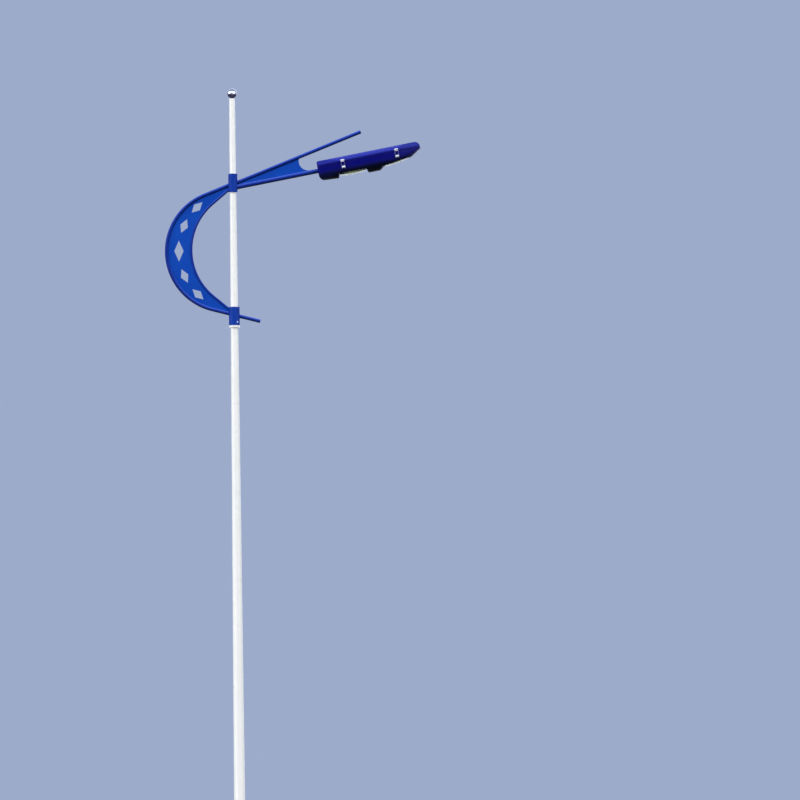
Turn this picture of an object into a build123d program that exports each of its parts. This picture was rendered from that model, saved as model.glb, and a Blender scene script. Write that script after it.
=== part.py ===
from build123d import *
from math import atan2, copysign, cos, degrees, radians, sin, sqrt, tan
import os

# Twin-lens street light on a tapered tubular column, with a crescent-shaped ornamental bracket.
# Millimetres. Origin: centre of the base plate's underside. +X: towards the road, along the arm.
# +Y: along the road. +Z: up.

# Column
overall_height = 9000.0
shaft_base_d = 126.0
shaft_top_d = 60.0
shaft_wall = 4.0
weld_gap = 0.1
cutter_run = 10.0

# Base plate and its gussets
plate_side = 300.0
plate_thickness = 16.0
plate_corner_r = 18.0
anchor_spacing = 220.0
anchor_hole_d = 26.0
cable_hole_d = 90.0
gusset_count = 4
gusset_height = 140.0
gusset_reach = 66.0
gusset_thickness = 8.0
gusset_toe = 14.0

# Service door, low on the side away from the road
door_centre_z = 700.0
door_height = 300.0
door_width = 80.0
door_corner_r = 14.0
door_clearance = 1.0
door_frame_width = 10.0
door_frame_depth = 14.0

# Top cap and ball finial
cap_height = 26.0
cap_lip = 2.0
neck_d = 30.0
neck_height = 2.0
ball_d = 102.0
ball_wall = 2.0

# Collars that carry the bracket
upper_collar_d = 97.0
upper_collar_drop = 985.0
lower_collar_d = 116.0
collar_spacing = 1391.0
collar_height = 190.0
collar_wall = 5.0
collar_flange = 8.0
ring_height = 20.0
ring_drop = 3.0

# Spar: the straight upper member, which runs on behind the column as the crescent's outer rim
spar_d = 38.0
spar_wall = 3.0
spar_slope = 21.6
spar_below_collar = 13.0
spar_reach = 1340.0
end_cap_thickness = 4.0

# Arm: the lower member, which carries the luminaire
arm_d = 48.0
arm_wall = 3.5
arm_slope = 10.6
arm_below_collar = 52.0
arm_reach = 893.0
web_thickness = 5.0
web_end_r = 98.0
web_end_x = 690.0

# Crescent: two bent tubes with a pierced plate between them
outer_rim_d = 38.0
outer_rim_wall = 3.0
outer_rim_depth = 700.0
outer_rim_top_rise = 8.0
outer_tail_slope = 14.5
outer_tail_rise = 12.4
inner_rim_d = 26.0
inner_rim_wall = 2.5
inner_rim_depth = 443.0
inner_rim_top_drop = 34.5
inner_rim_foot_rise = 27.5
inner_rim_slope = 40.0
crescent_thickness = 5.0
tail_reach = 270.0
diamond_count = 5
diamond_long = 156.0
diamond_short = 84.0
diamond_long_middle = 219.0
diamond_short_middle = 97.0
diamond_gap = 82.0

# Luminaire, in its own axes: x along the arm from the rear face, z square to it
lum_length = 1092.0
lum_width = 332.0
lum_rear_width = 236.0
lum_nose_width = 124.0
lum_shoulder_x = 240.0
lum_nose_taper = 215.0
lum_top = 94.0
lum_seam = 35.0
lum_wall = 3.0
rear_lump_end = 195.0
rear_lump_z = -98.0
rear_lump_front_z = -112.0
skirt_z = -72.0
middle_lump_start = 512.0
middle_lump_end = 635.0
middle_lump_run = 37.0
middle_lump_z = -117.0
rise_start_z = -84.0
nose_rise = 117.0
rise_end_z = -42.0
lump_draft = 10.0
corner_r = 22.0
heel_r = 45.0
lump_edge_r = 8.0
step_edge_r = 4.0
top_edge_r = 52.0
bottom_edge_r = 75.0
chin_r = 80.0
lip_r = 6.0
nose_r = 50.0
shoulder_r = 100.0
waist_r = 300.0
rear_corner_r = 28.0
rim_width = 12.0
gasket_height = 3.0
gasket_width = 8.0
closed_gap = 0.3

# Lenses, reflectors and lamps
glass_wall = 4.0
rear_glass_sag = 30.0
rear_glass_rim = 18.0
front_glass_sag = 15.0
front_glass_rim = 8.0
rear_lens_length = 270.0
rear_lens_width = 214.0
front_lens_length = 256.0
front_lens_width = 190.0
front_lens_start = 16.0
lens_corner_r = 40.0
lens_ledge = 12.0
lens_frame_width = 9.0
lens_frame_height = 6.0
fit_gap = 0.3
reflector_wall = 1.5
reflector_height = 56.0
reflector_lean = 30.0
reflector_corner_r = 16.0
reflector_flange = 8.0
lamp_d = 38.0
lamp_height = 36.0
lamp_neck_d = 30.0
lamp_neck_length = 18.0
rear_lamp_length = 190.0
front_lamp_length = 150.0
holder_d = 48.0
holder_length = 42.0

# Control gear and the clamp that holds the luminaire on the arm
spigot_depth = 120.0
clamp_start = 50.0
clamp_length = 60.0
clamp_width = 84.0
clamp_cover = 14.0
clamp_strap = 6.0
clamp_foot = 34.0
ballast_length = 96.0
ballast_width = 78.0
ballast_height = 74.0
ballast_gap = 20.0
ballast_inset = 16.0
ignitor_d = 40.0
ignitor_length = 80.0
ignitor_y = 84.0

# Cover hinges on the far side
rear_hinge_x = 292.0
front_hinge_back = 355.0
hinge_pin_d = 8.0
hinge_boss_d = 18.0
hinge_offset = 13.0
hinge_leaf_width = 34.0
hinge_ear_width = 8.0
hinge_side_gap = 1.0
hinge_run_gap = 0.05
hinge_leaf_height = 32.0
hinge_leaf_foot = 8.0
hinge_ear_drop = 20.0
hinge_leaf_thickness = 4.0

# Latches on the near side
rear_latch_x = 273.0
front_latch_back = 248.0
latch_width = 33.0
latch_pivot_z = -33.0
latch_pivot_offset = 17.0
latch_pin_d = 5.0
latch_base_height = 34.0
latch_base_drop = 10.0
latch_base_thickness = 3.0
latch_base_root = 6.0
latch_ear = 4.0
latch_ear_inset = 8.0
latch_ear_r = 4.0
lever_start = 6.0
lever_reach = 7.0
lever_cheek = 2.4
lever_length = 18.0
lever_thickness = 2.0
bail_wire_d = 3.6
bail_bend_r = 8.0
keeper_z = 37.0
keeper_height = 22.0
keeper_width = 38.0
keeper_root = 14.0
keeper_reach = 6.0
keeper_thickness = 3.0
latch_gap = 1.0


# Heights that follow from the column's height
upper_collar_z = overall_height - upper_collar_drop
lower_collar_z = upper_collar_z - collar_spacing
spar_axis_z = upper_collar_z - spar_below_collar
arm_axis_z = upper_collar_z - arm_below_collar
tail_axis_z = lower_collar_z + outer_tail_rise
inner_rim_top_z = upper_collar_z - inner_rim_top_drop
inner_rim_foot_z = lower_collar_z + inner_rim_foot_rise
ball_seat = sqrt((ball_d / 2) ** 2 - (neck_d / 2) ** 2)
shaft_top_z = overall_height - ball_d / 2 - ball_seat - neck_height - cap_lip

# Places along the luminaire that follow from its length
lum_waist_x = lum_length - lum_nose_taper
rise_start_x = middle_lump_end + middle_lump_run
rise_end_x = lum_length - nose_rise
hinge_xs = (rear_hinge_x, lum_length - front_hinge_back)
latch_xs = (rear_latch_x, lum_length - front_latch_back)
rear_lens_x = (rear_lump_end + middle_lump_start) / 2
front_lens_x = rise_start_x + front_lens_start + front_lens_length / 2


def shaft_radius(z):
    share = (z - plate_thickness) / (shaft_top_z - plate_thickness)
    return (shaft_base_d + (shaft_top_d - shaft_base_d) * share) / 2


def wall_layer(low, high, depth):
    """A length of the shaft's cone, taken in by depth from its outside."""
    cone = Cone(shaft_radius(low) - depth, shaft_radius(high) - depth, high - low)
    return Pos(0, 0, (low + high) / 2) * cone


def cylinder_between(radius, low, high, x=0.0, y=0.0):
    return Pos(x, y, (low + high) / 2) * Cylinder(radius, high - low)


def bar_along(x_from, x_to, radius, y, z):
    return Pos((x_from + x_to) / 2, y, z) * Rot(0, 90, 0) * Cylinder(radius, x_to - x_from)


def block(x_range, y_range, z_range):
    size = [b - a for a, b in (x_range, y_range, z_range)]
    middle = [(a + b) / 2 for a, b in (x_range, y_range, z_range)]
    return Pos(*middle) * Box(*size)


def upright_profile(points, radii, y_low, y_high):
    """A closed outline in x and z, with rounded corners, run from y_low to y_high."""
    outline = FilletPolyline(*[Vector(x, 0, z) for x, z in points], radius=radii, close=True)
    face = make_face(outline)
    run = extrude(face, amount=y_high - y_low, dir=(0, 1, 0))
    return Pos(0, y_low, 0) * run


def rounded_prism(length, width, height, radius):
    """A rounded rectangle about the origin, raised from z = 0."""
    return extrude(RectangleRounded(length, width, radius), amount=height)


def tube_along(path, diameter, wall):
    start = Plane(origin=path @ 0, z_dir=path % 0)
    outer = sweep(start * Circle(diameter / 2), path=path)
    inner = sweep(start * Circle(diameter / 2 - wall), path=path)
    return outer - inner


# Base plate with four anchor holes and the cable hole
def make_base_plate():
    plate = rounded_prism(plate_side, plate_side, plate_thickness, plate_corner_r)
    half = anchor_spacing / 2
    for x in (-half, half):
        for y in (-half, half):
            plate -= cylinder_between(anchor_hole_d / 2, 0, plate_thickness, x, y)
    plate -= cylinder_between(cable_hole_d / 2, 0, plate_thickness)
    return plate


# Four triangular gussets between the plate and the shaft
def make_base_gussets():
    gussets = []
    inner = shaft_radius(plate_thickness) - shaft_wall / 2
    outer = shaft_base_d / 2 + gusset_reach
    top = plate_thickness + gusset_height
    points = [(inner, plate_thickness), (outer, plate_thickness), (outer, plate_thickness + gusset_toe),
              (shaft_base_d / 2 + gusset_toe, top), (inner, top)]
    flat = Polyline(*[Vector(x, 0, z) for x, z in points], close=True)
    blank = extrude(make_face(flat), amount=gusset_thickness / 2, dir=(0, 1, 0), both=True)
    shaft = wall_layer(plate_thickness, shaft_top_z, -weld_gap)
    for index in range(gusset_count):
        gussets.append(Rot(0, 0, 360 / gusset_count * index) * blank - shaft)
    return Compound(children=[g.solid() for g in gussets])


# Tapered shaft with the doorway cut through its wall
def make_pole_shaft():
    shaft = wall_layer(plate_thickness, shaft_top_z, 0.0)
    shaft -= wall_layer(plate_thickness, shaft_top_z, shaft_wall)
    return shaft - door_prism(0.0)


def door_prism(inset):
    """The doorway's outline pushed through the wall on the -X side, made smaller by inset."""
    width = door_width - 2 * inset
    height = door_height - 2 * inset
    side = Plane(origin=(0, 0, door_centre_z), x_dir=(0, 1, 0), z_dir=(-1, 0, 0))
    outline = side * RectangleRounded(width, height, door_corner_r - inset)
    return extrude(outline, amount=shaft_base_d, dir=(-1, 0, 0))


def make_service_door():
    reach = door_height
    low = door_centre_z - reach
    high = door_centre_z + reach
    ring = wall_layer(low, high, 0.0) - wall_layer(low, high, shaft_wall + weld_gap - fit_gap)
    return ring & door_prism(door_clearance)


# Frame welded inside the doorway, which the door closes on
def make_door_frame():
    reach = door_height
    low = door_centre_z - reach
    high = door_centre_z + reach
    face = shaft_wall + weld_gap
    ring = wall_layer(low, high, face) - wall_layer(low, high, face + door_frame_depth)
    return ring & (door_prism(-door_frame_width / 2) - door_prism(door_frame_width / 2))


# Cap that closes the shaft, with the neck under the ball
def make_pole_cap():
    inside = shaft_top_d / 2 - shaft_wall
    plug_bottom = shaft_top_z - cap_height
    plug_r = inside - fit_gap
    cap = cylinder_between(plug_r, plug_bottom, shaft_top_z)
    cap += cylinder_between(shaft_top_d / 2 + fit_gap, shaft_top_z, shaft_top_z + cap_lip)
    cap += cylinder_between(neck_d / 2, shaft_top_z + cap_lip, shaft_top_z + cap_lip + neck_height)
    return cap


# Hollow polished ball, open where it sits on the neck
def make_finial_ball():
    centre = Pos(0, 0, overall_height - ball_d / 2)
    ball = centre * Sphere(ball_d / 2)
    ball -= centre * Sphere(ball_d / 2 - ball_wall)
    bottom = shaft_top_z + cap_lip + neck_height
    ball -= cylinder_between(ball_d, bottom - ball_d, bottom)
    return ball


def make_collar(diameter, centre_z):
    """A sleeve with a ring at each end that closes down to the tapered shaft."""
    low = centre_z - collar_height / 2
    high = centre_z + collar_height / 2
    sleeve = cylinder_between(diameter / 2, low, high)
    sleeve -= cylinder_between(diameter / 2 - collar_wall, low + collar_flange, high - collar_flange)
    return sleeve - wall_layer(low, high, -weld_gap)


def make_support_ring():
    high = lower_collar_z - collar_height / 2 - ring_drop
    low = high - ring_height
    ring = cylinder_between(lower_collar_d / 2, low, high)
    ring += cylinder_between(lower_collar_d / 2 - collar_wall, high, high + ring_drop)
    return ring - wall_layer(low, high + ring_drop, -weld_gap)


def collar_core(diameter):
    return cylinder_between(diameter / 2 + weld_gap, 0, overall_height)


def sloped_line(axis_z, slope, x_from, x_to):
    rise = tan(radians(slope))
    return Line((x_from, 0, axis_z + x_from * rise), (x_to, 0, axis_z + x_to * rise))


def make_spar_tube():
    path = sloped_line(spar_axis_z, spar_slope, 0, spar_reach)
    return tube_along(path, spar_d, spar_wall) - collar_core(upper_collar_d)


def make_end_cap(path, diameter, wall):
    """A plug that closes the far end of a tube and stands a little proud of it."""
    plane = Plane(origin=path @ 1, z_dir=path % 1)
    cap = extrude(plane * Circle(diameter / 2), amount=end_cap_thickness / 2)
    plug = extrude(plane * Circle(diameter / 2 - wall - fit_gap), amount=-end_cap_thickness)
    return cap + plug


def make_arm_tube():
    rise = tan(radians(arm_slope))
    inside = spigot_depth * cos(radians(arm_slope))
    end = arm_reach + inside
    path = Line((0, 0, arm_axis_z), (end, 0, arm_axis_z + end * rise))
    return tube_along(path, arm_d, arm_wall) - collar_core(upper_collar_d)


# Web plate between the spar and the arm, ending in a concave scoop
def make_arm_web():
    spar_drop = (spar_d / 2 + weld_gap) / cos(radians(spar_slope))
    arm_lift = (arm_d / 2 + weld_gap) / cos(radians(arm_slope))
    spar_rise = tan(radians(spar_slope))
    arm_rise = tan(radians(arm_slope))
    end = web_end_x + web_end_r

    def spar_edge(x):
        return spar_axis_z - spar_drop + x * spar_rise

    def arm_edge(x):
        return arm_axis_z + arm_lift + x * arm_rise

    meet = (arm_axis_z + arm_lift - spar_axis_z + spar_drop) / (spar_rise - arm_rise)
    start = max(meet, upper_collar_d / 2) + weld_gap
    corners = [Vector(start, 0, arm_edge(start)), Vector(end, 0, arm_edge(end)),
               Vector(end, 0, spar_edge(end)), Vector(start, 0, spar_edge(start))]
    face = make_face(Polyline(*corners, close=True))
    blank = extrude(face, amount=web_thickness / 2, dir=(0, 1, 0), both=True)
    centre_x = end
    centre_z = arm_edge(end) + web_end_r / cos(radians(arm_slope))
    scoop = Pos(centre_x, 0, centre_z) * Rot(90, 0, 0) * Cylinder(web_end_r, web_thickness * 2)
    return blank - scoop - collar_core(upper_collar_d)


# Crescent
def bow_fit(depth, top_z, foot_z, upper_slope, lower_slope):
    """Centre and radius of a bow that meets the column's axis at two heights and reaches depth behind it."""
    slopes = (radians(upper_slope), radians(lower_slope))
    tangents = sum(tan(slope) for slope in slopes)
    secants = sum(1 / cos(slope) for slope in slopes)
    radius = (top_z - foot_z - depth * tangents) / (secants - tangents)
    centre_x = radius - depth
    centre_z = top_z + centre_x * tan(slopes[0]) - radius / cos(slopes[0])
    return centre_x, centre_z, radius


outer_rim_x, outer_rim_z, outer_rim_r = bow_fit(
    outer_rim_depth, spar_axis_z + outer_rim_top_rise, tail_axis_z, spar_slope, outer_tail_slope)
inner_rim_x, inner_rim_z, inner_rim_r = bow_fit(
    inner_rim_depth, inner_rim_top_z, inner_rim_foot_z, inner_rim_slope, inner_rim_slope)


def bow_path(centre_x, centre_z, radius, upper_slope, lower_slope, x_end, x_tail):
    """Straight, bend, straight: down from the upper collar, round behind, back to the lower collar."""
    up = radians(90 + upper_slope)
    down = radians(-90 - lower_slope)
    first = Vector(centre_x + radius * cos(up), 0, centre_z + radius * sin(up))
    last = Vector(centre_x + radius * cos(down), 0, centre_z + radius * sin(down))
    back = Vector(centre_x - radius, 0, centre_z)
    top_z = centre_z + (x_end - centre_x) * tan(radians(upper_slope)) + radius / cos(radians(upper_slope))
    low_z = centre_z - (x_tail - centre_x) * tan(radians(lower_slope)) - radius / cos(radians(lower_slope))
    start = Vector(x_end, 0, top_z)
    end = Vector(x_tail, 0, low_z)
    return Line(start, first) + ThreePointArc(first, back, last) + Line(last, end)


def bow_zone(centre_x, centre_z, radius, upper_slope, lower_slope):
    """Everything inside a bow, as a thin plate that runs on to the column's axis."""
    path = bow_path(centre_x, centre_z, radius, upper_slope, lower_slope, 0.0, 0.0)
    closing = Line(path @ 1, path @ 0)
    return make_face(path + closing)


def make_outer_rim():
    path = bow_path(outer_rim_x, outer_rim_z, outer_rim_r, spar_slope, outer_tail_slope, 0.0, 0.0)
    rim = tube_along(path, outer_rim_d, outer_rim_wall)
    return trim_to_collars(rim)


def make_inner_rim():
    path = bow_path(inner_rim_x, inner_rim_z, inner_rim_r, inner_rim_slope, inner_rim_slope, 0.0, 0.0)
    rim = tube_along(path, inner_rim_d, inner_rim_wall)
    return trim_to_collars(rim)


def trim_to_collars(piece):
    split = (upper_collar_z + lower_collar_z) / 2
    upper = cylinder_between(upper_collar_d / 2 + weld_gap, split, overall_height)
    lower = cylinder_between(lower_collar_d / 2 + weld_gap, 0, split)
    reach = outer_rim_r
    rest = block((0, reach), (-reach, reach), (0, overall_height))
    cut = piece - upper - lower - rest
    return sorted(cut.solids(), key=lambda s: s.volume)[-1]


def diamond(long_axis, short_axis):
    half_long = long_axis / 2
    half_short = short_axis / 2
    points = [(0, half_long), (half_short, 0), (0, -half_long), (-half_short, 0)]
    face = make_face(Polyline(*[Vector(x, 0, z) for x, z in points], close=True))
    return extrude(face, amount=crescent_thickness, dir=(0, 1, 0), both=True)


def make_crescent_plate():
    outer_edge_r = outer_rim_r - outer_rim_d / 2 - weld_gap
    inner_edge_r = inner_rim_r + inner_rim_d / 2 + weld_gap
    outer = bow_zone(outer_rim_x, outer_rim_z, outer_edge_r, spar_slope, outer_tail_slope)
    inner = bow_zone(inner_rim_x, inner_rim_z, inner_edge_r, inner_rim_slope, inner_rim_slope)
    face = outer - inner
    plate = extrude(face, amount=crescent_thickness / 2, dir=(0, 1, 0), both=True)
    centre_x = (outer_rim_x + inner_rim_x) / 2
    centre_z = (outer_rim_z + inner_rim_z) / 2
    middle_r = (outer_rim_r + inner_rim_r) / 2
    for step in range(-(diamond_count // 2), diamond_count // 2 + 1):
        if step == 0:
            size = (diamond_long_middle, diamond_short_middle)
            travel = 0.0
        else:
            size = (diamond_long, diamond_short)
            travel = (diamond_long_middle - diamond_long) / 2 + abs(step) * (diamond_long + diamond_gap)
        turn = copysign(travel / middle_r, step)
        place = Pos(centre_x - middle_r * cos(turn), 0, centre_z + middle_r * sin(turn))
        plate -= place * Rot(0, degrees(turn), 0) * diamond(*size)
    return trim_to_collars(plate)


def tail_path():
    fall = tan(radians(outer_tail_slope))
    return Line((0, 0, tail_axis_z), (tail_reach, 0, tail_axis_z - tail_reach * fall))


def make_tail_stub():
    return tube_along(tail_path(), outer_rim_d, outer_rim_wall) - collar_core(lower_collar_d)


# Luminaire
rise_deg = degrees(atan2(rise_end_z - rise_start_z, rise_end_x - rise_start_x))


def rise_z(x):
    """Height of the underside where it rises towards the nose."""
    return rise_start_z + (x - rise_start_x) * tan(radians(rise_deg))


lum_place = Pos(arm_reach, 0, arm_axis_z + arm_reach * tan(radians(arm_slope))) * Rot(0, -arm_slope, 0)


def lum_plan(inset, z_low, z_high):
    """The luminaire's outline seen from above, made smaller all round by inset."""
    rear = lum_rear_width / 2 - inset
    side = lum_width / 2 - inset
    nose = lum_nose_width / 2 - inset
    tip = lum_length - inset
    points = [(inset, -rear), (lum_shoulder_x, -side), (lum_waist_x, -side), (tip, -nose),
              (tip, nose), (lum_waist_x, side), (lum_shoulder_x, side), (inset, rear)]
    rear_r = rear_corner_r - inset
    tip_r = nose_r - inset
    radii = [rear_r, shoulder_r, waist_r, tip_r, tip_r, waist_r, shoulder_r, rear_r]
    outline = FilletPolyline(*[Vector(x, y, z_low) for x, y in points], radius=radii, close=True)
    return extrude(make_face(outline), amount=z_high - z_low, dir=(0, 0, 1))


def cover_form(inset, bottom):
    """The upper shell's outside, or its inside when inset by the wall."""
    top = lum_top - inset
    tip = lum_length - inset
    half = lum_width / 2 - inset
    side = upright_profile([(inset, bottom), (tip, bottom), (tip, top), (inset, top)],
                           [0, 0, nose_r - inset, corner_r - inset], -lum_width, lum_width)
    section = make_section(half, bottom, top, top_edge_r - inset, True)
    return side & section & lum_plan(inset, bottom, top)


def make_section(half, low, high, radius, round_top):
    """A cross-section in y and z, rounded at the top or at the bottom, run along the luminaire."""
    points = [(-half, low), (half, low), (half, high), (-half, high)]
    radii = [0, 0, radius, radius] if round_top else [radius, radius, 0, 0]
    outline = FilletPolyline(*[Vector(0, y, z) for y, z in points], radius=radii, close=True)
    return extrude(make_face(outline), amount=lum_length, dir=(1, 0, 0))


def taken_in(points, radii, inset):
    """Corners and rounding radii of a closed outline after each of its sides moves in by inset."""
    corners = []
    rounding = []
    for index, (x, z) in enumerate(points):
        before_x, before_z = points[index - 1]
        after_x, after_z = points[(index + 1) % len(points)]
        come = atan2(z - before_z, x - before_x)
        leave = atan2(after_z - z, after_x - x)
        share = inset / (1 + cos(leave - come))
        corners.append((x - share * (sin(come) + sin(leave)), z + share * (cos(come) + cos(leave))))
        if radii[index]:
            rounding.append(radii[index] - inset * copysign(1, sin(leave - come)))
        else:
            rounding.append(0)
    return corners, rounding


def tray_form(inset, top):
    """The lower shell's outside, or its inside when inset by the wall."""
    lid = top + inset
    points = [(0, lid), (0, rear_lump_z), (rear_lump_end, rear_lump_front_z),
              (rear_lump_end + lump_draft, skirt_z), (middle_lump_start - lump_draft, skirt_z),
              (middle_lump_start, middle_lump_z), (middle_lump_end, middle_lump_z),
              (rise_start_x, rise_start_z), (rise_end_x, rise_end_z),
              (lum_length, lum_seam - lump_draft), (lum_length, lid)]
    radii = [0, heel_r, lump_edge_r, step_edge_r, step_edge_r, lump_edge_r, lump_edge_r, step_edge_r,
             chin_r, lip_r, 0]
    corners, rounding = taken_in(points, radii, inset)
    side = upright_profile(corners, rounding, -lum_width, lum_width)
    half = lum_width / 2 - inset
    section = make_section(half, middle_lump_z + inset, top, bottom_edge_r - inset, False)
    return side & section & lum_plan(inset, middle_lump_z, top)


rear_lens_place = Pos(rear_lens_x, 0, skirt_z)
front_lens_place = Pos(front_lens_x, 0, rise_z(front_lens_x)) * Rot(0, -rise_deg, 0)
tray_top = lum_seam - gasket_height
side_y = lum_width / 2


def make_luminaire_tray():
    rim_low = tray_top - lum_wall
    tray = tray_form(0.0, tray_top) - tray_form(lum_wall, rim_low)
    tray -= lum_plan(rim_width, rim_low - lum_wall, lum_seam)
    tray -= bar_along(-cutter_run, cutter_run, arm_d / 2 + weld_gap, 0, 0)
    for place, length, width in ((rear_lens_place, rear_lens_length, rear_lens_width),
                                 (front_lens_place, front_lens_length, front_lens_width)):
        hole = rounded_prism(length - 2 * lens_ledge, width - 2 * lens_ledge, cutter_run,
                             lens_corner_r - lens_ledge)
        tray -= place * Pos(0, 0, -lum_wall) * hole
    return tray


def make_seam_gasket():
    return lum_plan(weld_gap, tray_top, lum_seam) - lum_plan(gasket_width, tray_top, lum_seam)


def make_luminaire_cover():
    return cover_form(0.0, lum_seam + closed_gap) - cover_form(lum_wall, lum_seam - lum_wall)


def dish(length, width, sag, rim, inset):
    """A drop glass's form: a rounded rectangle whose underside is bowed along the luminaire."""
    chord = length / 2
    bow = sag - rim
    radius = (chord ** 2 + bow ** 2) / (2 * bow)
    prism = rounded_prism(length - 2 * inset, width - 2 * inset, sag, lens_corner_r - inset)
    barrel = Pos(0, 0, radius) * Rot(90, 0, 0) * Cylinder(radius - inset, width)
    return Pos(0, 0, -sag) * (prism & barrel)


def make_lens(place, length, width, sag, rim):
    return place * (dish(length, width, sag, rim, 0.0) - dish(length, width, sag, rim, glass_wall))


def make_lens_frame(place, length, width):
    inner = fit_gap
    outer = fit_gap + lens_frame_width
    ring = rounded_prism(length + 2 * outer, width + 2 * outer, lens_frame_height, lens_corner_r + outer)
    ring -= rounded_prism(length + 2 * inner, width + 2 * inner, lens_frame_height, lens_corner_r + inner)
    return place * Pos(0, 0, -lens_frame_height) * ring


def reflector_form(length, width, inset, height):
    """A tapered box with an upright rear end, standing on z = 0."""
    low_length = length - 2 * inset
    low_width = width - 2 * inset
    radius = reflector_corner_r - inset
    low = RectangleRounded(low_length, low_width, radius)
    high = RectangleRounded(low_length - reflector_lean, low_width - 2 * reflector_lean, radius)
    return loft([low.face(), (Pos(-reflector_lean / 2, 0, height) * high).face()])


def make_reflector(place, length, width):
    open_length = length - 2 * lens_ledge
    open_width = width - 2 * lens_ledge
    shell = reflector_form(open_length, open_width, 0.0, reflector_height)
    flange = rounded_prism(open_length + 2 * reflector_flange, open_width + 2 * reflector_flange,
                           reflector_wall, reflector_corner_r + reflector_flange)
    shell += flange
    shell -= reflector_form(open_length, open_width, reflector_wall, reflector_height - reflector_wall)
    end = -open_length / 2
    hole_r = lamp_neck_d / 2 + fit_gap
    hole = bar_along(end - cutter_run, end + cutter_run, hole_r, 0, lamp_height - lum_wall)
    return place * Pos(0, 0, lum_wall + fit_gap) * (shell - hole)


def make_lamp(place, lens_length, lamp_length):
    start = -(lens_length - 2 * lens_ledge) / 2
    height = lamp_height + fit_gap
    tip_x = start + lamp_length - lamp_d / 2
    lamp = bar_along(start, start + lamp_neck_length, lamp_neck_d / 2, 0, height)
    lamp += bar_along(start + lamp_neck_length, tip_x, lamp_d / 2, 0, height)
    lamp += Pos(tip_x, 0, height) * Sphere(lamp_d / 2)
    return place * lamp


def make_lampholder(place, lens_length):
    end = -(lens_length - 2 * lens_ledge) / 2 - fit_gap
    return place * bar_along(end - holder_length, end, holder_d / 2, 0, lamp_height + fit_gap)


def make_spigot_clamp():
    start = clamp_start
    end = clamp_start + clamp_length
    half = clamp_width / 2
    foot = clamp_foot / 2
    clamp = block((start, end), (-half, half), (-clamp_cover, arm_d / 2 + clamp_strap))
    leg = block((start, end), (-foot, foot), (middle_lump_z, -clamp_cover))
    clamp += leg & tray_form(lum_wall + weld_gap, lum_seam)
    return clamp - bar_along(start, end, arm_d / 2 + weld_gap, 0, 0)


def make_ballasts():
    floor = middle_lump_z + lum_wall + weld_gap
    start = middle_lump_start + ballast_inset
    ballasts = []
    for side in (-1, 1):
        near = side * ballast_gap / 2
        far = side * (ballast_gap / 2 + ballast_width)
        ballasts.append(block((start, start + ballast_length), (min(near, far), max(near, far)),
                              (floor, floor + ballast_height)))
    return Compound(children=ballasts)


def make_ignitors():
    fall = degrees(atan2(rear_lump_z - rear_lump_front_z, rear_lump_end))
    floor_place = Pos(0, 0, rear_lump_z) * Rot(0, fall, 0)
    middle_z = lum_wall + weld_gap + ignitor_d / 2
    end = clamp_start + ignitor_length
    cans = []
    for side in (-1, 1):
        can = bar_along(clamp_start, end, ignitor_d / 2, side * ignitor_y, middle_z)
        cans.append(floor_place * can)
    return Compound(children=cans)


# Cover hinges
hinge_y = side_y + hinge_offset


def make_hinge_brackets():
    half_leaf = hinge_leaf_width / 2
    ear_in = half_leaf + hinge_side_gap
    ear_out = ear_in + hinge_ear_width
    tray = tray_form(-weld_gap, tray_top)
    brackets = []
    for x in hinge_xs:
        pin = bar_along(x - ear_out, x + ear_out, hinge_pin_d / 2, hinge_y, lum_seam)
        for low, high in ((x - ear_out, x - ear_in), (x + ear_in, x + ear_out)):
            pin += bar_along(low, high, hinge_boss_d / 2, hinge_y, lum_seam)
            ear = block((low, high), (side_y - lum_wall, hinge_y), (lum_seam - hinge_ear_drop, tray_top))
            pin += ear - tray
        brackets.append(pin.solid())
    return Compound(children=brackets)


def make_cover_hinge_leaves():
    half = hinge_leaf_width / 2
    low = lum_seam + closed_gap
    cover = cover_form(-weld_gap, low)
    leaves = []
    for x in hinge_xs:
        leaf = block((x - half, x + half), (side_y - top_edge_r, side_y + hinge_leaf_thickness),
                     (low, low + hinge_leaf_height))
        leaf += block((x - half, x + half), (side_y - top_edge_r, hinge_y), (low, low + hinge_leaf_foot))
        leaf -= cover
        leaf += bar_along(x - half, x + half, hinge_boss_d / 2, hinge_y, lum_seam)
        leaf -= bar_along(x - half, x + half, hinge_pin_d / 2 + hinge_run_gap, hinge_y, lum_seam)
        leaves.append(leaf.solid())
    return Compound(children=leaves)


# Latches: a base on the tray, a lever with a wire bail, and a keeper on the cover
latch_y = -side_y - latch_pivot_offset
ear_in = latch_ear_inset
ear_out = latch_ear_inset + latch_ear
cheek_in = ear_out + latch_gap
cheek_out = cheek_in + lever_cheek
bail_x = cheek_out + weld_gap + bail_wire_d / 2


def make_latch_base(x):
    half = ear_out
    base = block((x - half, x + half), (-side_y - latch_base_thickness, -side_y + latch_base_root),
                 (latch_pivot_z - latch_base_drop, latch_pivot_z + latch_base_height - latch_base_drop))
    base -= tray_form(-weld_gap, tray_top)
    for side in (-1, 1):
        low = x + min(side * ear_in, side * ear_out)
        high = low + latch_ear
        ear_z = (latch_pivot_z - latch_ear_r, latch_pivot_z + latch_ear_r)
        base += block((low, high), (latch_y, -side_y), ear_z)
        base += bar_along(low, high, latch_ear_r, latch_y, latch_pivot_z)
    base += bar_along(x - cheek_out, x + cheek_out, latch_pin_d / 2, latch_y, latch_pivot_z)
    return base


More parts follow.
